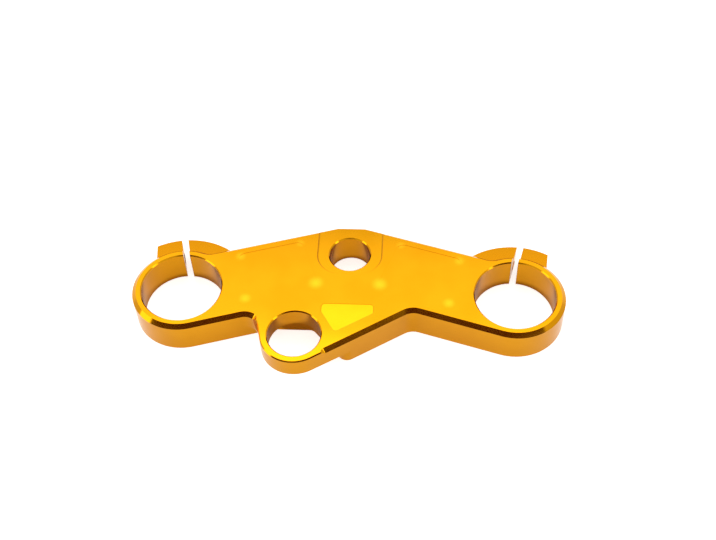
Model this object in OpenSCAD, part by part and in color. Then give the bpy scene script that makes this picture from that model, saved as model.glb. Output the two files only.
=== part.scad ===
// Top triple clamp of a motorcycle fork, machined from one aluminium plate.
// The steering stem's axis is the Z axis and the underside is the plane z = 0.
// +X runs along the row of bores, and +Y points to the rider, where the clamps are split.

/* [Plate] */
// Thickness of the plate
plate_t = 22; // [18:0.5:28]
// Width of the long bevel round the top of the plate
bevel = 2.5; // [1:0.1:3]
// Width of the fine edge break on bores and on the lock ring
edge_break = 0.7; // [0.3:0.1:1]

/* [Fork clamps] */
// Distance between the axes of the two fork tubes
fork_spacing = 206.5; // [190:0.5:225]
// Distance from the stem's axis forward to the fork tubes' axes
fork_offset = 30; // [24:0.5:36]
// Diameter of the fork tube that the clamp grips
fork_d = 50; // [43:0.5:54]
// Wall of the ring round the fork tube
ring_wall = 5.9; // [5:0.1:8]
// Angle that each arm's front edge sweeps forward to its ring
arm_sweep = 16.8; // [12:0.2:20]

/* [Pinch ears] */
// How far the ears' tops lie below the top of the plate
ear_drop = 8; // [6:0.5:10]
// Radius of the ears' rounded back, from the fork's axis
ear_r = 44.4; // [43.5:0.1:47]
// Distance from the fork's axis to the ear's outer face
ear_reach = 17.7; // [15:0.1:20]
// Angle that the ear's outer face leans away from the stem
ear_lean = 6.5; // [3:0.5:10]
// Width of the slot that lets the clamp close
slot_w = 4; // [2.5:0.1:5]
// Angle that the slot leans away from the stem
slot_lean = 13.8; // [8:0.2:18]
// Distance from the fork's axis to the slot's middle plane
slot_shift = 5.7; // [4:0.1:7]
// Radius of the blend between an ear and the plate
ear_root_r = 6; // [4:0.5:9]
// Radius of the blend between a ring and the plate's back edge
ring_root_r = 10; // [4:0.5:14]
// Radius of the small blend between an ear's outer face and its ring
ear_toe_r = 2; // [1:0.5:3]
// Distance from the ears' rounded back to the pinch screw's axis
pinch_inset = 10; // [8.5:0.1:11]
// Diameter of the pinch screw's clearance hole
pinch_clear_d = 8.4; // [6:0.1:8.6]
// Diameter of the pinch screw's threaded hole
pinch_tap_d = 6.8; // [5:0.1:7]
// Depth of the tapped hole past the slot
pinch_tap_depth = 14; // [10:0.5:16]

/* [Stem] */
// Diameter of the stem's bore
stem_d = 25.7; // [22:0.1:28]
// Width of the lead under the stem's bore
stem_lead = 1.3; // [1:0.1:2.5]
// Distance from the stem's axis back to the plate's crown
crown_depth = 22.1; // [20:0.1:26]
// Length of the crown's straight back edge
crown_w = 17.4; // [14:0.2:24]
// Angle that the plate's back edges sweep forward from the crown
back_sweep = 16.6; // [13:0.2:19]
// Radius of the crown's corners
crown_r = 6; // [3:0.5:10]
// Half the width of the sunk seat round the stem
seat_half_w = 20.6; // [18:0.2:23]
// Distance from the stem's axis to the front of the sunk seat
seat_front = 16.8; // [16:0.2:20]
// Radius of the sunk seat's front corners
seat_r = 15; // [10:0.5:16]
// Depth of the sunk seat
seat_depth = 1.2; // [0.5:0.1:1.5]
// Radius of the fillet that the cutter leaves round the seat's floor
seat_fillet = 1; // [0.3:0.1:1.2]

/* [Ignition lock] */
// Distance of the lock's axis to the side of the stem's axis
lock_side = 30.3; // [26:0.1:34]
// Distance of the lock's axis in front of the stem's axis
lock_front = 63; // [60:0.2:66]
// Diameter of the lock's bore
lock_d = 32.6; // [29:0.2:34]
// Wall of the ring round the lock
lock_wall = 4.6; // [3.5:0.1:6]
// Thickness of the plate at the lock
lock_t = 13; // [10:0.5:16]
// Angle of the short edge from the left arm to the lock's ring
neck_angle = 77; // [72:0.5:80]
// Angle of the long diagonal edge from the lock's ring to the right arm
diagonal_angle = 32.4; // [29:0.2:35]
// Radius in the hollow corner beside the lock's ring
neck_r = 8.5; // [5:0.5:11]
// Radius in the wide hollow corner of the front edge
elbow_r = 10; // [6:0.5:14]
// Distance from the lock's ring to the start of the long bevel on the diagonal
bevel_start = 10.5; // [8:0.5:14]
// How far the left arm's bevel follows the hollow corner, in degrees
bevel_wrap = 50; // [30:5:70]
// Distance from the stem's axis forward to the back of the lock's relief
relief_front = 45; // [42:0.5:47]
// Angle of the relief's side wall
relief_angle = 42; // [38:1:50]
// Distance from the lock's axis to the relief's side wall
relief_side = 18.8; // [18.5:0.1:22]
// Radius of the relief's hollow corner
relief_r = 5; // [3:0.5:7]
// Radius of the rounded corner where the relief comes out under the diagonal edge
relief_exit_r = 6; // [2:0.5:7]

/* [Pockets] */
// Depth of the shallow pocket in each arm
pocket_depth = 0.2; // [0.2:0.1:1]
// Distance from the arm's back edge to the pocket
pocket_back = 6.5; // [5:0.5:9]
// Distance from the arm's front edge to the pocket
pocket_front = 10.8; // [8:0.2:13]
// Distance from the fork's axis to the pocket's outer end
pocket_end = 37; // [34:0.5:42]
// Angle that the pocket's outer end leans from the stem
pocket_end_lean = 11; // [5:1:17]
// Distance from the stem's axis to the pocket's inner end
pocket_root = 25.6; // [24:0.2:29]
// Angle that the pocket's inner end leans from the stem
pocket_root_lean = 21; // [16:1:24]
// Radius of the pocket's corners
pocket_r = 5; // [3:0.5:7]
// Depth of the triangular pocket at its back edge
tri_depth = 0.2; // [0.2:0.1:1]
// Angle that the triangular pocket's floor falls to the front
tri_fall = 2; // [0:0.5:3]
// Distance from the stem's axis forward to the triangular pocket
tri_back = 40; // [38:0.5:42]
// Distance from the diagonal edge to the triangular pocket
tri_edge = 9.6; // [7:0.2:11]
// Distance from the lock's axis to the triangular pocket's slanted side
tri_lock = 21.7; // [20:0.1:22.5]
// Angle of the triangular pocket's slanted side beside the lock
tri_angle = 58.5; // [54:0.5:64]
// Distance from the lock's axis sideways to the triangular pocket's near end
tri_near = 15.1; // [14:0.1:16]
// Distance from the stem's middle plane to the triangular pocket's far end
tri_end = 16.8; // [14:0.2:19]
// Radius of the triangular pocket's corners
tri_r = 2.4; // [1:0.2:3]

/* [Hidden] */
$fn = 128;
past = 1;
skim = 0.3;
lap = 0.5;
lap_angle = 10;
nudge = 0.002;
mill_r = 1;
far = 100;
drill_angle = 118;
ring_r = fork_d / 2 + ring_wall;
ear_t = plate_t - ear_drop;
lock_r = lock_d / 2 + lock_wall;
fork_x = fork_spacing / 2;
fork = [fork_x, -fork_offset];
fork_l = [-fork_x, -fork_offset];
lock = [-lock_side, -lock_front];

// A line is [normal x, normal y, distance of the line along its normal].
// Its normal points out of the plate.
function dir(a) = [cos(a), sin(a)];
function line(a, through, out = 0) = [cos(a), sin(a), dir(a) * through + out];
function normal(l) = [l[0], l[1]];
function along(l) = [-l[1], l[0]];
function shift(l, d) = [l[0], l[1], l[2] + d];
function flip(p) = [-p[0], p[1]];
function flip_line(l) = [-l[0], l[1], l[2]];
function foot(p, l) = p + (l[2] - normal(l) * p) * normal(l);
function bearing(v) = atan2(v[1], v[0]);

// Point where two lines cross
function meet(a, b) = let (det = a[0] * b[1] - b[0] * a[1])
    [(a[2] * b[1] - b[2] * a[1]) / det, (a[0] * b[2] - b[0] * a[2]) / det];

// Point where an arc round c starts, a hair inside the arc so that the two always cross
function tuck(p, c) = p + nudge * (c - p) / norm(c - p);
function touch(o, l) = tuck(foot(o, l), o);

// Blend of radius r between two lines, as [centre, its start on a, its start on b].
// A positive radius hollows an inner corner, and a negative one rounds an outer corner.
function blend(a, b, r) = let (c = meet(shift(a, r), shift(b, r))) [c, touch(c, a), touch(c, b)];

// Hollow blend between a disc and a line, as [centre, its start on the disc, its start on the line]
function nestle(o, disc_r, l, r, side) =
    let (
        reach = disc_r + r - nudge,
        q = l[2] + r - normal(l) * o,
        c = o + q * normal(l) + side * sqrt(reach * reach - q * q) * along(l)
    )
    [c, o + (c - o) * disc_r / reach, touch(c, l)];

// Edges of the plate, seen from above
arm = line(-90 - arm_sweep, fork, ring_r);
arm_l = flip_line(arm);
diagonal = line(diagonal_angle - 90, lock, lock_r);
neck = line(-90 - neck_angle, lock, lock_r);
back = line(90 - back_sweep, [crown_w / 2, crown_depth]);
back_l = flip_line(back);
crown = line(90, [0, crown_depth]);
ear_face = line(-ear_lean, fork, ear_reach);
slot_mid = line(-slot_lean, fork, -slot_shift);

// Corners of the outline
elbow = blend(diagonal, arm, elbow_r);
neck_corner = blend(arm_l, neck, neck_r);
crown_corner = blend(back, crown, -crown_r);
ring_root = nestle(fork, ring_r, back, ring_root_r, 1);
ear_root = nestle(fork, ear_r, back, ear_root_r, 1);
ear_toe = nestle(fork, ring_r, ear_face, ear_toe_r, 1);
bevel_end = foot(lock, diagonal) + bevel_start * along(diagonal);

// Draws its children on the right side and mirrored on the left
module both_sides() {
    children();
    mirror([1, 0, 0]) children();
}

// Plan of the plate without its ears
module plate_plan() {
    difference() {
        union() {
            polygon([
                fork_l, touch(fork_l, arm_l), neck_corner[1], neck_corner[2],
                touch(lock, neck), lock, touch(lock, diagonal), elbow[1], elbow[2],
                touch(fork, arm), fork, ring_root[1], ring_root[2],
                crown_corner[1], crown_corner[2], flip(crown_corner[2]), flip(crown_corner[1]),
                flip(ring_root[2]), flip(ring_root[1])
            ]);
            for (p = [fork, fork_l]) translate(p) circle(r = ring_r);
            translate(lock) circle(r = lock_r);
            for (p = [crown_corner[0], flip(crown_corner[0])]) translate(p) circle(r = crown_r);
        }
        for (p = [ring_root[0], flip(ring_root[0])]) translate(p) circle(r = ring_root_r);
        translate(neck_corner[0]) circle(r = neck_r);
        translate(elbow[0]) circle(r = elbow_r);
    }
}

// Plan of the pair of ears behind the right ring
module ear_plan() {
    past_tip = ear_toe[2] + far * along(ear_face);
    difference() {
        union() {
            intersection() {
                translate(fork) circle(r = ear_r);
                polygon([
                    fork, ear_toe[1], ear_toe[2], past_tip, [fork_x - far, past_tip[1]],
                    [fork_x - far, -fork_offset]
                ]);
            }
            polygon([fork, ear_root[1], ear_root[2], [0, 0]]);
        }
        translate(ear_toe[0]) circle(r = ear_toe_r);
        translate(ear_root[0]) circle(r = ear_root_r);
    }
}

// Takes a bevel of width w off the top edge from one point of the outline to the next.
// Each end runs on by the lap given for it, where a rounded corner follows.
module edge_cut(from, to, w, laps = [0, 0]) {
    run = to - from;
    translate([from[0], from[1], plate_t]) rotate([0, 0, bearing(run)]) translate([-laps[0], 0, 0])
        rotate([90, 0, 90]) linear_extrude(norm(run) + laps[0] + laps[1])
            polygon([[w + past, past], [-past, -w - past], [-past, past]]);
}

// Takes the bevel off a rounded stretch of the top edge, centred in the plate
module round_cut(centre, r, from, to, w) {
    translate([centre[0], centre[1], plate_t]) rotate([0, 0, from]) rotate_extrude(angle = to - from)
        polygon([[r - w - past, past], [r + past, -w - past], [r + past, past]]);
}

// Takes the bevel off a hollow stretch of the top edge, centred outside the plate
module hollow_cut(centre, r, w) {
    translate([centre[0], centre[1], plate_t - w]) cylinder(r1 = r, r2 = r + w + past, h = w + past);
}

// Takes the bevel off part of a hollow stretch of the top edge
module hollow_arc_cut(centre, r, from, to, w) {
    translate([centre[0], centre[1], plate_t]) rotate([0, 0, from]) rotate_extrude(angle = to - from)
        polygon([[r - past, -w - past], [r + w + past, past], [r - past, past]]);
}

// Rounds off the end of a bevel, where the cutter leaves the edge
module run_out(at, out, w) {
    hollow_cut(at + mill_r * out, mill_r, w);
}

// Long bevel round the top of the plate
module plate_bevel() {
    wrap_from = bearing(neck_corner[1] - neck_corner[0]);
    wrap_end = wrap_from - bevel_wrap;
    edge_cut(touch(fork_l, arm_l), neck_corner[1], bevel, [lap, 0]);
    hollow_arc_cut(neck_corner[0], neck_r, wrap_end, wrap_from + lap_angle, bevel);
    run_out(neck_corner[0] + neck_r * dir(wrap_end), -dir(wrap_end), bevel);
    run_out(bevel_end, normal(diagonal), bevel);
    edge_cut(bevel_end, elbow[1], bevel);
    hollow_cut(elbow[0], elbow_r, bevel);
    edge_cut(elbow[2], touch(fork, arm), bevel, [0, lap]);
    edge_cut(crown_corner[2], flip(crown_corner[2]), bevel, [lap, lap]);
    both_sides() {
        round_cut(fork, ring_r, -90 - arm_sweep, bearing(ring_root[1] - fork), bevel);
        hollow_cut(ring_root[0], ring_root_r, bevel);
        edge_cut(ring_root[2], crown_corner[1], bevel, [0, lap]);
        round_cut(crown_corner[0], crown_r, 90 - back_sweep, 90, bevel);
    }
}

// Fine edge break round the top of the lock's ring
module lock_break() {
    edge_cut(neck_corner[2], touch(lock, neck), edge_break, [0, lap]);
    hollow_cut(neck_corner[0], neck_r, edge_break);
    round_cut(lock, lock_r, -90 - neck_angle, diagonal_angle - 90, edge_break);
    edge_cut(touch(lock, diagonal), bevel_end, edge_break, [lap, 0]);
}

// Through bore with a broken edge at the top height and a lead at the bottom height
module bore(at, d, bottom, top, lead) {
    translate([at[0], at[1], 0]) {
        translate([0, 0, -past]) cylinder(d = d, h = plate_t + 2 * past);
        translate([0, 0, top - edge_break])
            cylinder(r1 = d / 2, r2 = d / 2 + edge_break + skim, h = edge_break + skim);
        translate([0, 0, bottom - skim]) cylinder(r1 = d / 2 + lead + skim, r2 = d / 2, h = lead + skim);
    }
}

// Slot that splits the ring and its ears
module clamp_slot() {
    from = foot(fork, slot_mid);
    translate([from[0], from[1], -past]) rotate([0, 0, bearing(along(slot_mid))])
        translate([ring_wall, -slot_w / 2, 0]) cube([2 * ear_r, slot_w, plate_t + 2 * past]);
}

// Screw hole across the ears: clear on the outside, tapped past the slot
module pinch_hole() {
    screw = line(90 - ear_lean, fork, ear_r - pinch_inset);
    gap = meet(screw, slot_mid);
    inner = meet(screw, shift(slot_mid, -slot_w / 2));
    translate([gap[0], gap[1], ear_t / 2]) rotate([0, 0, -ear_lean]) rotate([0, 90, 0])
        cylinder(d = pinch_clear_d, h = far);
    translate([inner[0], inner[1], ear_t / 2]) rotate([0, 0, 180 - ear_lean]) rotate([0, 90, 0]) {
        translate([0, 0, -slot_w / 2]) cylinder(d = pinch_tap_d, h = pinch_tap_depth + slot_w / 2);
        translate([0, 0, pinch_tap_depth])
            cylinder(r1 = pinch_tap_d / 2, r2 = 0, h = pinch_tap_d / 2 / tan(drill_angle / 2));
    }
}

// Pocket with rounded corners between the lines that bound it
module pocket_plan(lines, r) {
    n = len(lines);
    corners = [for (i = [0:n - 1]) blend(lines[i], lines[(i + 1) % n], -r)];
    polygon([for (c = corners) each [c[1], c[2]]]);
    for (c = corners) translate(c[0]) circle(r = r);
}

// Shallow pocket in the right arm
module arm_pocket() {
    lines = [
        line(-90 - arm_sweep, fork, ring_r - pocket_front),
        line(-pocket_end_lean, fork, -pocket_end),
        shift(back, -pocket_back),
        line(180 - pocket_root_lean, [0, 0], -pocket_root)
    ];
    translate([0, 0, plate_t - pocket_depth]) linear_extrude(pocket_depth + past)
        pocket_plan(lines, pocket_r);
}

// Triangular pocket beside the lock, with a floor that falls to the front
module tri_pocket() {
    lines = [
        line(90, [0, -tri_back]),
        line(180, lock, -tri_near),
        line(180 + 90 - tri_angle, lock, -tri_lock),
        shift(diagonal, -tri_edge),
        line(0, [tri_end, 0])
    ];
    translate([0, -tri_back, plate_t - tri_depth]) rotate([tri_fall, 0, 0])
        translate([0, tri_back, 0]) linear_extrude(plate_t) pocket_plan(lines, tri_r);
}

// Half of the sunk seat's section, w wide, with the cutter's fillet between its floor and its wall
module seat_section(w) {
    h = seat_depth + past;
    square([w - seat_fillet, h]);
    translate([0, seat_fillet]) square([w, h - seat_fillet]);
    translate([w - seat_fillet, seat_fillet]) circle(r = seat_fillet);
}

// Sunk seat round the stem, open at the plate's back edge
module stem_seat() {
    side = seat_half_w - seat_r;
    front = seat_front - seat_r;
    translate([0, 0, plate_t - seat_depth]) {
        both_sides() {
            translate([side, -front, 0]) rotate([0, 0, -90]) rotate_extrude(angle = 90)
                seat_section(seat_r);
            translate([0, -front, 0]) mirror([0, 1, 0]) rotate([90, 0, 0]) linear_extrude(far)
                seat_section(seat_half_w);
        }
        translate([-side, 0, 0]) mirror([0, 1, 0]) rotate([90, 0, 90]) linear_extrude(2 * side)
            seat_section(seat_front);
    }
}

// Relief under the lock's ring
module lock_relief() {
    wall = line(90, [0, -relief_front]);
    side = line(relief_angle, lock, relief_side);
    corner = blend(wall, side, -relief_r);
    exit = blend(-side, diagonal, -relief_exit_r);
    entry = neck_corner[1];
    translate([0, 0, -past]) linear_extrude(plate_t - lock_t + past) difference() {
        union() {
            polygon([
                entry, entry + far * normal(arm_l), exit[2] + far * normal(diagonal),
                exit[2], exit[0], exit[1], corner[2], corner[1], meet(wall, arm_l)
            ]);
            translate(corner[0]) circle(r = relief_r);
        }
        translate(exit[0]) circle(r = relief_exit_r);
    }
}

// Plate and ears with their outer edges finished, before anything is bored or sunk
module blank() {
    difference() {
        union() {
            linear_extrude(plate_t) plate_plan();
            both_sides() linear_extrude(ear_t) ear_plan();
        }
        plate_bevel();
        lock_break();
    }
}

module triple_clamp() {
    color("goldenrod") difference() {
        blank();
        stem_seat();
        tri_pocket();
        lock_relief();
        bore([0, 0], stem_d, 0, plate_t - seat_depth, stem_lead);
        bore(lock, lock_d, plate_t - lock_t, plate_t, edge_break);
        both_sides() {
            arm_pocket();
            bore(fork, fork_d, 0, plate_t, edge_break);
            clamp_slot();
            pinch_hole();
        }
    }
}

triple_clamp();
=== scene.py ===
"""Gold anodised top triple clamp of a motorcycle fork, in a light tent on white paper.

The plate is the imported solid, merged and finely edge-broken, so its size is the solid's own.
The threads for the pinch screws are made by a node tree. Lengths are in metres, apart from
the camera's sensor and the two tables of places on the plate, which are in millimetres.
"""
import math

import bmesh
import bpy
from mathutils import Matrix, Vector


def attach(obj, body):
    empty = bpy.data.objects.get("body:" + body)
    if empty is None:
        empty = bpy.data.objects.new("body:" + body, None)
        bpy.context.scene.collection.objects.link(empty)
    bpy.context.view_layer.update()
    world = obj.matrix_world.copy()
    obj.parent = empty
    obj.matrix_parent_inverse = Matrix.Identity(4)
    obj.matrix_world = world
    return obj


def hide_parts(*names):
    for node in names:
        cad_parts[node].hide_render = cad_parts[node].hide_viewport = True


MM = 0.001
WHITE = (1.0, 1.0, 1.0, 1.0)

# Places on the plate, repeated from the part's source
PLATE_T = 22.0 * MM
EAR_T = 14.0 * MM
TAP_MOUTH = Vector((103.81, 4.56, 7.0)) * MM
TAP_LEAN = math.radians(6.5)
TAP_RADIUS = 3.4 * MM
TAP_DEPTH = 13.0 * MM

# The photograph's camera
CAMERA_PLACE = (0.0450, -0.4686, 0.5996)
CAMERA_YAW = math.radians(-4.9163)
CAMERA_PITCH = math.radians(51.6646)
CAMERA_ROLL = math.radians(-2.5407)
CAMERA_FOCUS_PIXELS = 1178.9
CAMERA_NEAREST = 0.01
PHOTO_WIDTH_PIXELS = 716
SENSOR_WIDTH = 36.0

# Tent: its level as light, and its white for the camera and mirrors
TENT_LIGHT = 0.7
TENT_WHITE = 1.0

# Table of white paper, with the glow it has for the camera and for mirrors
TABLE_HALF = 3.0
TABLE_Z = -0.2 * MM
PAPER = (0.86, 0.855, 0.85, 1.0)
PAPER_GLOW = (1.0, 1.0, 0.99, 1.0)
CAMERA_GLOW = 0.72
MIRROR_GLOW = 0.45

# Back cloth: place, width and height, the two heights from its middle between which it
# grows brighter, and its brightness below and above them
CLOTH_PLACE = (0.0, 1.2, 1.7)
CLOTH_SIZE = (3.2, 1.4)
CLOTH_GROWS = (-0.34, -0.14)
CLOTH_LEVELS = (1.0, 1.9)

# Open front: place, width and height of its sheet, then half the width and height of the
# dark room seen through it, the soft edges of those, and how the dark tilts and arches
OPENING_PLACE = (0.0, -3.0, 2.23)
OPENING_SIZE = (12.8, 3.6)
DARK_HALF = (6.4, 0.37)
DARK_FADE = (1.6, 0.1)
DARK_TILT = 0.036
DARK_ARCH = 0.022
DARK = (0.075, 0.002, 0.0, 1.0)

# Lamps: name, centre, direction, width and height, brightness
LAMPS = (
    ("key_lamp", (-0.05, 0.22, 0.6), (0.0, 0.0, -1.0), (1.2, 0.24), 1.3),
    ("left_lamp", (-1.0, -0.3, 0.4), (1.0, 0.3, -0.35), (0.4, 0.75), 1.9),
    ("right_lamp", (0.95, -0.38, 0.66), (-0.95, 0.38, -0.6), (0.3, 0.3), 2.2),
)

# Painted shade on the table at the back of each bore, seen only in mirrors, as its walls show
# it, in millimetres: the bore's place and radius, then the lit circle's place to the back and
# its radius
PAINTED_BORE_SHADES = (
    (-30.3, -63.0, 19.0, -78.0, 25.0),
    (0.0, 0.0, 12.9, -1.6, 12.9),
    (103.25, -30.0, 25.0, -31.6, 25.0),
    (-103.25, -30.0, 25.0, -31.6, 25.0),
)
SHADE_EDGE = (-1.0, 2.0)
LIT_EDGE = (-3.0, 0.5)

# Colours of the gold: the skin, its deeper clouds, the painted glints in the pockets' corners,
# the ears' darker tops, and the painted light on the pockets' low steps
GOLD = (0.67, 0.285, 0.004, 1.0)
DEEP_GOLD = (0.64, 0.265, 0.003, 1.0)
PAINTED_GLINT_GOLD = (0.86, 0.45, 0.014, 1.0)
EAR_TOP_GOLD = (0.56, 0.22, 0.003, 1.0)
PAINTED_LIGHT_STEP_GOLD = (0.95, 0.5, 0.02, 1.0)

# Painted glints: pale spots in the pockets' corners, the same on both arms, in millimetres:
# place to the side and to the back, radius, and how pale they are
PAINTED_GLINT_SPOTS = (
    (19.8, -24.3, 6.5, 0.8),
    (62.5, -37.5, 5.0, 0.7),
    (69.0, -4.5, 4.5, 0.55),
    (32.0, 7.3, 4.0, 0.5),
)

# Where the finish changes, from none of it to all of it: how far a face looks up, then
# heights on the plate
FACES_UP = (0.9, 0.99)
FACES_OUT = (0.3, 0.2)
TOP_AND_FLOORS = (PLATE_T - 0.4 * MM, PLATE_T - 0.3 * MM)
LOW_STEPS = (PLATE_T - 0.25 * MM, PLATE_T - 0.2 * MM)
EAR_TOPS = (EAR_T + 0.3 * MM, EAR_T + 0.2 * MM)

# Noises of the finish, each as features a metre and detail, and what they do
CLOUDS = (38.0, 2.0)
CLOUD_EDGE = (0.35, 0.7)
TOOL_LINES = (900.0, 2.0)
TOOL_LINE_STRETCH = (1.0, 1.0, 0.04)
SMEARS = (120.0, 3.0)
GRAIN = (2600.0, 3.0)
GRAIN_HEIGHT = 0.0006 * MM

# Roughness: the mean, how far lines and smears move it, and what the ears' tops add
SATIN = 0.11
UNEVEN = 0.03
EAR_DULLNESS = 0.09

# Plate's mesh: the edges that are broken and those that are shaded sharp, and what the
# merge takes as one point, as no length and as one flat
EDGE_BREAK = 0.15 * MM
BREAK_SEGMENTS = 2
BREAK_FROM = math.radians(60.0)
SHARP_FROM = math.radians(28.0)
LOW_STEP = 0.25 * MM
UPRIGHT_BELOW = 0.5
ONE_POINT = 5e-6
NO_LENGTH = 1e-7
ONE_FLAT = math.radians(0.05)

# Thread of the pinch screws
THREAD_START = 0.8 * MM
THREAD_PITCH = 1.25 * MM
THREAD_RIDGE = 0.35 * MM
THREAD_TURN_POINTS = 48
THREAD_RIDGE_SIDES = 6


def place_camera():
    """Puts the camera where the photograph was taken from."""
    forward = Vector((
        math.sin(CAMERA_YAW) * math.cos(CAMERA_PITCH),
        math.cos(CAMERA_YAW) * math.cos(CAMERA_PITCH),
        -math.sin(CAMERA_PITCH),
    ))
    level_right = Vector((math.cos(CAMERA_YAW), -math.sin(CAMERA_YAW), 0.0))
    level_up = level_right.cross(forward)
    right = math.cos(CAMERA_ROLL) * level_right + math.sin(CAMERA_ROLL) * level_up
    up = -math.sin(CAMERA_ROLL) * level_right + math.cos(CAMERA_ROLL) * level_up
    turn = Matrix((right, up, -forward)).transposed().to_4x4()
    data = bpy.data.cameras.new("camera")
    data.sensor_width = SENSOR_WIDTH
    data.lens = SENSOR_WIDTH * CAMERA_FOCUS_PIXELS / PHOTO_WIDTH_PIXELS
    data.clip_start = CAMERA_NEAREST
    camera = bpy.data.objects.new("camera", data)
    bpy.context.scene.collection.objects.link(camera)
    camera.matrix_world = Matrix.Translation(CAMERA_PLACE) @ turn
    bpy.context.scene.camera = camera


class Tree:
    """Short ways to add and wire shader nodes."""

    def __init__(self, owner):
        owner.use_nodes = True
        self.nodes = owner.node_tree.nodes
        self.links = owner.node_tree.links
        self.nodes.clear()

    def put(self, socket, value):
        """Wires a socket to another one, or sets it to a plain value."""
        if isinstance(value, bpy.types.NodeSocket):
            self.links.new(value, socket)
        else:
            socket.default_value = value

    def math(self, operation, *values):
        """One step of arithmetic."""
        node = self.nodes.new("ShaderNodeMath")
        node.operation = operation
        for socket, value in zip(node.inputs, values):
            self.put(socket, value)
        return node.outputs[0]

    def ramp(self, value, start, end, low=0.0, high=1.0):
        """Smooth step of a value, from low at start to high at end."""
        node = self.nodes.new("ShaderNodeMapRange")
        node.interpolation_type = "SMOOTHSTEP"
        for socket, number in zip(node.inputs, (value, start, end, low, high)):
            self.put(socket, number)
        return node.outputs[0]

    def mix(self, share, first, second):
        """Mix of two colours."""
        node = self.nodes.new("ShaderNodeMix")
        node.data_type = "RGBA"
        inputs = [socket for socket in node.inputs if socket.type == "RGBA"]
        self.put(node.inputs[0], share)
        self.put(inputs[0], first)
        self.put(inputs[1], second)
        return next(socket for socket in node.outputs if socket.type == "RGBA")

    def place(self):
        """Object coordinates, whole and split into x, y and z."""
        coordinates = self.nodes.new("ShaderNodeTexCoord")
        split = self.nodes.new("ShaderNodeSeparateXYZ")
        self.links.new(coordinates.outputs["Object"], split.inputs[0])
        return coordinates.outputs["Object"], split.outputs

    def noise(self, where, scale, detail, stretch=(1.0, 1.0, 1.0)):
        """Value of a noise with features of about 1 / scale metres."""
        mapping = self.nodes.new("ShaderNodeMapping")
        mapping.inputs["Scale"].default_value = stretch
        self.links.new(where, mapping.inputs["Vector"])
        node = self.nodes.new("ShaderNodeTexNoise")
        node.inputs["Scale"].default_value = scale
        node.inputs["Detail"].default_value = detail
        self.links.new(mapping.outputs[0], node.inputs["Vector"])
        return node.outputs[0]

    def mirrors(self, paths):
        """1 for rays off metal or through glass."""
        return self.math(
            "MAXIMUM", paths.outputs["Is Glossy Ray"], paths.outputs["Is Transmission Ray"])

    def finish(self, kind, shader):
        """Adds the output node."""
        out = self.nodes.new(kind)
        self.links.new(shader, out.inputs["Surface"])


def softbox(name, centre, direction, size, brightness):
    """Rectangular lamp of the tent, with a brightness of 1 for white.

    Mirrors show its brightness on top of what is behind it.
    """
    data = bpy.data.lights.new(name, "AREA")
    data.shape = "RECTANGLE"
    data.size, data.size_y = size
    data.energy = brightness * size[0] * size[1] * math.pi
    lamp = bpy.data.objects.new(name, data)
    bpy.context.scene.collection.objects.link(lamp)
    lamp.location = centre
    lamp.rotation_euler = Vector(direction).to_track_quat("-Z", "Y").to_euler()
    lamp.visible_camera = False


def sheet_mesh(name, corners, material):
    """Flat sheet that belongs to the studio, not to the plate."""
    mesh = bpy.data.meshes.new(name)
    mesh.from_pydata(corners, [], [(0, 1, 2, 3)])
    mesh.materials.append(material)
    sheet = bpy.data.objects.new(name, mesh)
    bpy.context.scene.collection.objects.link(sheet)
    return sheet


def tent_side(name, centre, size, material):
    """Upright side of the tent across the Y axis, which only mirror rays see."""
    x, z = size[0] / 2, size[1] / 2
    side = sheet_mesh(name, [(-x, 0, -z), (x, 0, -z), (x, 0, z), (-x, 0, z)], material)
    side.location = centre
    side.visible_camera = False
    side.visible_diffuse = False
    side.visible_shadow = False


def back_cloth():
    """Cloth at the back of the tent, lit more towards its top."""
    material = bpy.data.materials.new("tent_back_cloth")
    tree = Tree(material)
    _, (_, _, z) = tree.place()
    glow = tree.nodes.new("ShaderNodeEmission")
    tree.put(glow.inputs["Strength"], tree.ramp(z, *CLOTH_GROWS, *CLOTH_LEVELS))
    tree.finish("ShaderNodeOutputMaterial", glow.outputs[0])
    return material


def dark_room():
    """Dark room behind the tent's arched open front, fading to the tent's own white."""
    material = bpy.data.materials.new("dark_room")
    tree = Tree(material)
    _, (x, _, z) = tree.place()
    slope = tree.math("ADD", tree.math("MULTIPLY", x, DARK_ARCH), DARK_TILT)
    height = tree.math("SUBTRACT", z, tree.math("MULTIPLY", x, slope))
    past_side, past_top = (
        tree.ramp(tree.math("ABSOLUTE", distance), half - fade, half)
        for distance, half, fade in zip((x, height), DARK_HALF, DARK_FADE)
    )
    glow = tree.nodes.new("ShaderNodeEmission")
    outside = tree.math("MAXIMUM", past_side, past_top)
    tree.put(glow.inputs["Color"], tree.mix(outside, DARK, WHITE))
    tree.finish("ShaderNodeOutputMaterial", glow.outputs[0])
    return material


def studio_world():
    """Soft light of the tent, which camera and mirror rays see as white paper."""
    world = bpy.data.worlds.new("tent")
    tree = Tree(world)
    backgrounds = []
    for level in (TENT_LIGHT, TENT_WHITE):
        background = tree.nodes.new("ShaderNodeBackground")
        background.inputs["Color"].default_value = WHITE
        background.inputs["Strength"].default_value = level
        backgrounds.append(background.outputs[0])
    paths = tree.nodes.new("ShaderNodeLightPath")
    seen = tree.math("MAXIMUM", paths.outputs["Is Camera Ray"], tree.mirrors(paths))
    mix = tree.nodes.new("ShaderNodeMixShader")
    tree.put(mix.inputs["Fac"], seen)
    tree.links.new(backgrounds[0], mix.inputs[1])
    tree.links.new(backgrounds[1], mix.inputs[2])
    tree.finish("ShaderNodeOutputWorld", mix.outputs[0])
    bpy.context.scene.world = world


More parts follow.
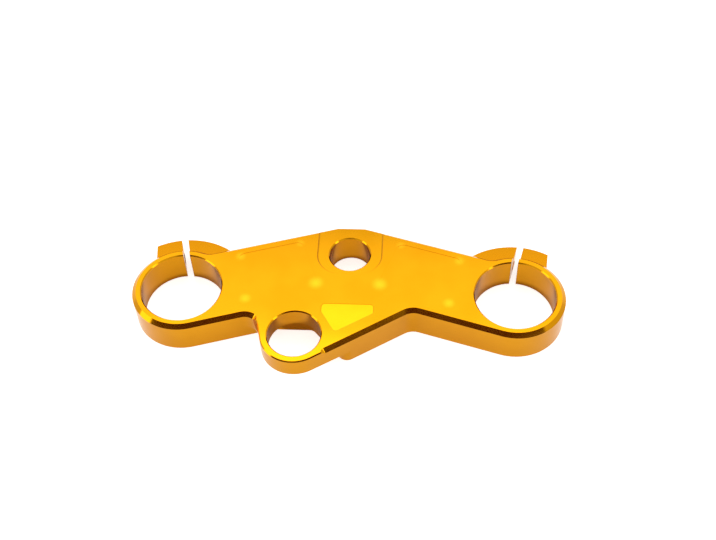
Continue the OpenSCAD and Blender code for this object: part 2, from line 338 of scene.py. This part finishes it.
def near(tree, x, y, centre, inner, outer):
    """1 within the inner radius of a place in plan, 0 beyond the outer one, in millimetres."""
    dx = tree.math("SUBTRACT", x, centre[0] * MM)
    dy = tree.math("SUBTRACT", y, centre[1] * MM)
    squares = tree.math("ADD", tree.math("MULTIPLY", dx, dx), tree.math("MULTIPLY", dy, dy))
    return tree.ramp(tree.math("SQRT", squares), inner * MM, outer * MM, 1.0, 0.0)


def painted_bore_shade(tree):
    """1 on the table in the painted shade at the back of each bore, 0 elsewhere."""
    _, (x, y, _) = tree.place()
    shade = 0.0
    for bore_x, bore_y, radius, lit_y, lit_radius in PAINTED_BORE_SHADES:
        below = near(tree, x, y, (bore_x, bore_y), *(radius + edge for edge in SHADE_EDGE))
        lit = near(tree, x, y, (bore_x, lit_y), *(lit_radius + edge for edge in LIT_EDGE))
        shade = tree.math("MAXIMUM", shade, tree.math("SUBTRACT", below, lit))
    return shade


def table_paper():
    """White paper that also glows for the camera and mirrors, which keeps its soft shadows,
    with painted shade behind each bore for mirrors.
    """
    material = bpy.data.materials.new("table_paper")
    tree = Tree(material)
    paper = tree.nodes.new("ShaderNodeBsdfDiffuse")
    paper.inputs["Color"].default_value = PAPER
    glow = tree.nodes.new("ShaderNodeEmission")
    glow.inputs["Color"].default_value = PAPER_GLOW
    paths = tree.nodes.new("ShaderNodeLightPath")
    for_camera = tree.math("MULTIPLY", paths.outputs["Is Camera Ray"], CAMERA_GLOW)
    # Painted shade: mirrors see the paper without its glow behind each bore
    outside_painted_shade = tree.math("SUBTRACT", 1.0, painted_bore_shade(tree))
    in_mirrors = tree.math("MULTIPLY", tree.mirrors(paths), outside_painted_shade)
    for_mirrors = tree.math("MULTIPLY", in_mirrors, MIRROR_GLOW)
    tree.put(glow.inputs["Strength"], tree.math("ADD", for_camera, for_mirrors))
    both = tree.nodes.new("ShaderNodeAddShader")
    tree.links.new(paper.outputs[0], both.inputs[0])
    tree.links.new(glow.outputs[0], both.inputs[1])
    tree.finish("ShaderNodeOutputMaterial", both.outputs[0])
    return material


def lay_table():
    """Wide flat table under the plate."""
    half, z = TABLE_HALF, TABLE_Z
    corners = [(-half, -half, z), (half, -half, z), (half, half, z), (-half, half, z)]
    sheet_mesh("table", corners, table_paper())


def painted_glint_share(tree, x, y, on_top):
    """How much painted glint the surface has in the pockets' corners."""
    side = tree.math("ABSOLUTE", x)
    total = 0.0
    for spot_x, spot_y, radius, paleness in PAINTED_GLINT_SPOTS:
        spot = near(tree, side, y, (spot_x, spot_y), 0.0, radius)
        total = tree.math("ADD", total, tree.math("MULTIPLY", spot, paleness))
    return tree.math("MULTIPLY", total, on_top)


def gold_anodising():
    """Satin gold anodising over fine-milled aluminium, as one metal surface."""
    material = bpy.data.materials.new("gold_anodising")
    tree = Tree(material)
    where, (x, y, z) = tree.place()
    coordinates = tree.nodes.new("ShaderNodeTexCoord")
    facing = tree.nodes.new("ShaderNodeSeparateXYZ")
    tree.links.new(coordinates.outputs["Normal"], facing.inputs[0])
    up = tree.ramp(facing.outputs[2], *FACES_UP)
    on_top = tree.ramp(z, *TOP_AND_FLOORS)
    on_ears = tree.math("MULTIPLY", up, tree.ramp(z, *EAR_TOPS))
    painted_light_steps = tree.math(
        "MULTIPLY", tree.ramp(facing.outputs[2], *FACES_OUT), tree.ramp(z, *LOW_STEPS))

    # Colour: the dye takes a little unevenly, the ears' tops are a darker gold, the pockets'
    # corners carry painted glints, and the pockets' low steps carry painted light
    cloud = tree.ramp(tree.noise(where, *CLOUDS), *CLOUD_EDGE)
    tone = tree.mix(on_ears, tree.mix(cloud, GOLD, DEEP_GOLD), EAR_TOP_GOLD)
    # Painted glints: paler gold in the pockets' corners stands in for the lamp's reflection
    tone = tree.mix(painted_glint_share(tree, x, y, on_top), tone, PAINTED_GLINT_GOLD)
    # Painted light: lighter gold on the pockets' low steps hides the dark line they reflect
    tone = tree.mix(painted_light_steps, tone, PAINTED_LIGHT_STEP_GOLD)

    # Roughness: satin, with smears and faint upright tool lines, whose middle is one half
    lines = tree.noise(where, *TOOL_LINES, stretch=TOOL_LINE_STRETCH)
    smears = tree.noise(where, *SMEARS)
    uneven = tree.math(
        "ADD", tree.math("MULTIPLY", lines, UNEVEN), tree.math("MULTIPLY", smears, UNEVEN))
    satin = tree.math("ADD", uneven, SATIN - UNEVEN)
    rough = tree.math("ADD", satin, tree.math("MULTIPLY", on_ears, EAR_DULLNESS))

    # Relief: fine grain of the etched skin, its height in metres
    grain = tree.math("MULTIPLY", tree.noise(where, *GRAIN), GRAIN_HEIGHT)
    bump = tree.nodes.new("ShaderNodeBump")
    bump.inputs["Strength"].default_value = 1.0
    bump.inputs["Distance"].default_value = 1.0
    tree.put(bump.inputs["Height"], grain)

    shader = tree.nodes.new("ShaderNodeBsdfPrincipled")
    shader.inputs["Metallic"].default_value = 1.0
    tree.put(shader.inputs["Base Color"], tone)
    tree.put(shader.inputs["Roughness"], rough)
    tree.put(shader.inputs["Normal"], bump.outputs[0])
    tree.finish("ShaderNodeOutputMaterial", shader.outputs[0])
    return material


def face_height(face):
    """Height of an upright face, or the plate's own for one that isn't upright."""
    if abs(face.normal.z) > UPRIGHT_BELOW:
        return PLATE_T
    heights = [vert.co.z for vert in face.verts]
    return max(heights) - min(heights)


def finish_plate(node, material):
    """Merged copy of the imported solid, with its square edges broken as deburring leaves them.

    The pockets' low steps stay square, and the solid has its own breaks on the other edges.
    """
    mesh = node.data.copy()
    mesh.name = "machined_plate"
    work = bmesh.new()
    work.from_mesh(mesh)
    bmesh.ops.remove_doubles(work, verts=work.verts, dist=ONE_POINT)
    bmesh.ops.dissolve_degenerate(work, edges=work.edges, dist=NO_LENGTH)
    bmesh.ops.dissolve_limit(
        work, angle_limit=ONE_FLAT, verts=work.verts, edges=work.edges, delimit={"NORMAL"})
    broken = work.edges.layers.float.new("bevel_weight_edge")
    for edge in work.edges:
        low_step = min(face_height(face) for face in edge.link_faces) < LOW_STEP
        edge[broken] = 1.0 if edge.calc_face_angle() > BREAK_FROM and not low_step else 0.0
        edge.smooth = edge.calc_face_angle() < SHARP_FROM
    for face in work.faces:
        face.smooth = True
    work.to_mesh(mesh)
    work.free()
    mesh.materials.clear()
    mesh.materials.append(material)
    plate = bpy.data.objects.new("machined_plate", mesh)
    bpy.context.scene.collection.objects.link(plate)
    bevel = plate.modifiers.new("deburr", "BEVEL")
    bevel.width = EDGE_BREAK
    bevel.segments = BREAK_SEGMENTS
    bevel.limit_method = "WEIGHT"
    bevel.use_clamp_overlap = False
    level = plate.modifiers.new("level", "WEIGHTED_NORMAL")
    level.keep_sharp = True
    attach(plate, "root")
    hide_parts("triple_clamp")


def thread_tree(material):
    """Node tree of a screw thread: a ridge that climbs round the Z axis, from named sizes."""
    tree = bpy.data.node_groups.new("screw_thread", "GeometryNodeTree")
    sizes = {
        "Pitch": THREAD_PITCH, "Length": TAP_DEPTH, "Radius": TAP_RADIUS, "Ridge": THREAD_RIDGE,
    }
    for name, size in sizes.items():
        socket = tree.interface.new_socket(name, in_out="INPUT", socket_type="NodeSocketFloat")
        socket.default_value = size
    tree.interface.new_socket("Geometry", in_out="OUTPUT", socket_type="NodeSocketGeometry")
    nodes, links = tree.nodes, tree.links
    given = nodes.new("NodeGroupInput")
    turns = nodes.new("ShaderNodeMath")
    turns.operation = "DIVIDE"
    links.new(given.outputs["Length"], turns.inputs[0])
    links.new(given.outputs["Pitch"], turns.inputs[1])
    spiral = nodes.new("GeometryNodeCurveSpiral")
    spiral.inputs["Resolution"].default_value = THREAD_TURN_POINTS
    links.new(turns.outputs[0], spiral.inputs["Rotations"])
    for end in ("Start Radius", "End Radius"):
        links.new(given.outputs["Radius"], spiral.inputs[end])
    links.new(given.outputs["Length"], spiral.inputs["Height"])
    ridge = nodes.new("GeometryNodeCurvePrimitiveCircle")
    ridge.inputs["Resolution"].default_value = THREAD_RIDGE_SIDES
    links.new(given.outputs["Ridge"], ridge.inputs["Radius"])
    sweep = nodes.new("GeometryNodeCurveToMesh")
    sweep.inputs["Fill Caps"].default_value = True
    links.new(spiral.outputs["Curve"], sweep.inputs["Curve"])
    links.new(ridge.outputs["Curve"], sweep.inputs["Profile Curve"])
    real = nodes.new("GeometryNodeRealizeInstances")
    links.new(sweep.outputs["Mesh"], real.inputs["Geometry"])
    finish = nodes.new("GeometryNodeSetMaterial")
    finish.inputs["Material"].default_value = material
    links.new(real.outputs["Geometry"], finish.inputs["Geometry"])
    out = nodes.new("NodeGroupOutput")
    links.new(finish.outputs["Geometry"], out.inputs["Geometry"])
    return tree


def cut_threads(material):
    """Threads in the two tapped holes, as one piece."""
    carrier = bpy.data.objects.new("thread_carrier", bpy.data.meshes.new("thread_carrier"))
    bpy.context.scene.collection.objects.link(carrier)
    carrier.modifiers.new("thread", "NODES").node_group = thread_tree(material)
    ready = carrier.evaluated_get(bpy.context.evaluated_depsgraph_get())
    one = bpy.data.meshes.new_from_object(ready)
    bpy.data.objects.remove(carrier)
    both = bmesh.new()
    for side in (1.0, -1.0):
        mouth = Vector((side * TAP_MOUTH.x, TAP_MOUTH.y, TAP_MOUTH.z))
        inward = Vector((-side * math.cos(TAP_LEAN), math.sin(TAP_LEAN), 0.0))
        start = Matrix.Translation(mouth + inward * THREAD_START)
        placed = one.copy()
        placed.transform(start @ inward.to_track_quat("Z", "Y").to_matrix().to_4x4())
        both.from_mesh(placed)
    bmesh.ops.recalc_face_normals(both, faces=both.faces)
    mesh = bpy.data.meshes.new("pinch_threads")
    both.to_mesh(mesh)
    both.free()
    mesh.materials.append(material)
    threads = bpy.data.objects.new("pinch_threads", mesh)
    bpy.context.scene.collection.objects.link(threads)
    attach(threads, "root")


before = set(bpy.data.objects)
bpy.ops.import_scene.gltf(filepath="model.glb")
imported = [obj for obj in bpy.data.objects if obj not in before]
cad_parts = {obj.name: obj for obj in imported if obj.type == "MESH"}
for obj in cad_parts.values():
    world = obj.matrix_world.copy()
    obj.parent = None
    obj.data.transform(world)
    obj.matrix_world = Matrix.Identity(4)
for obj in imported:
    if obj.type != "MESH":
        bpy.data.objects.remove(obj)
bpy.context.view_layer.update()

bpy.context.scene.view_settings.view_transform = "Standard"
place_camera()
studio_world()
lay_table()
tent_side("tent_back", CLOTH_PLACE, CLOTH_SIZE, back_cloth())
tent_side("tent_opening", OPENING_PLACE, OPENING_SIZE, dark_room())
for lamp in LAMPS:
    softbox(*lamp)

gold = gold_anodising()
finish_plate(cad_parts["triple_clamp"], gold)
cut_threads(gold)

bpy.context.view_layer.update()
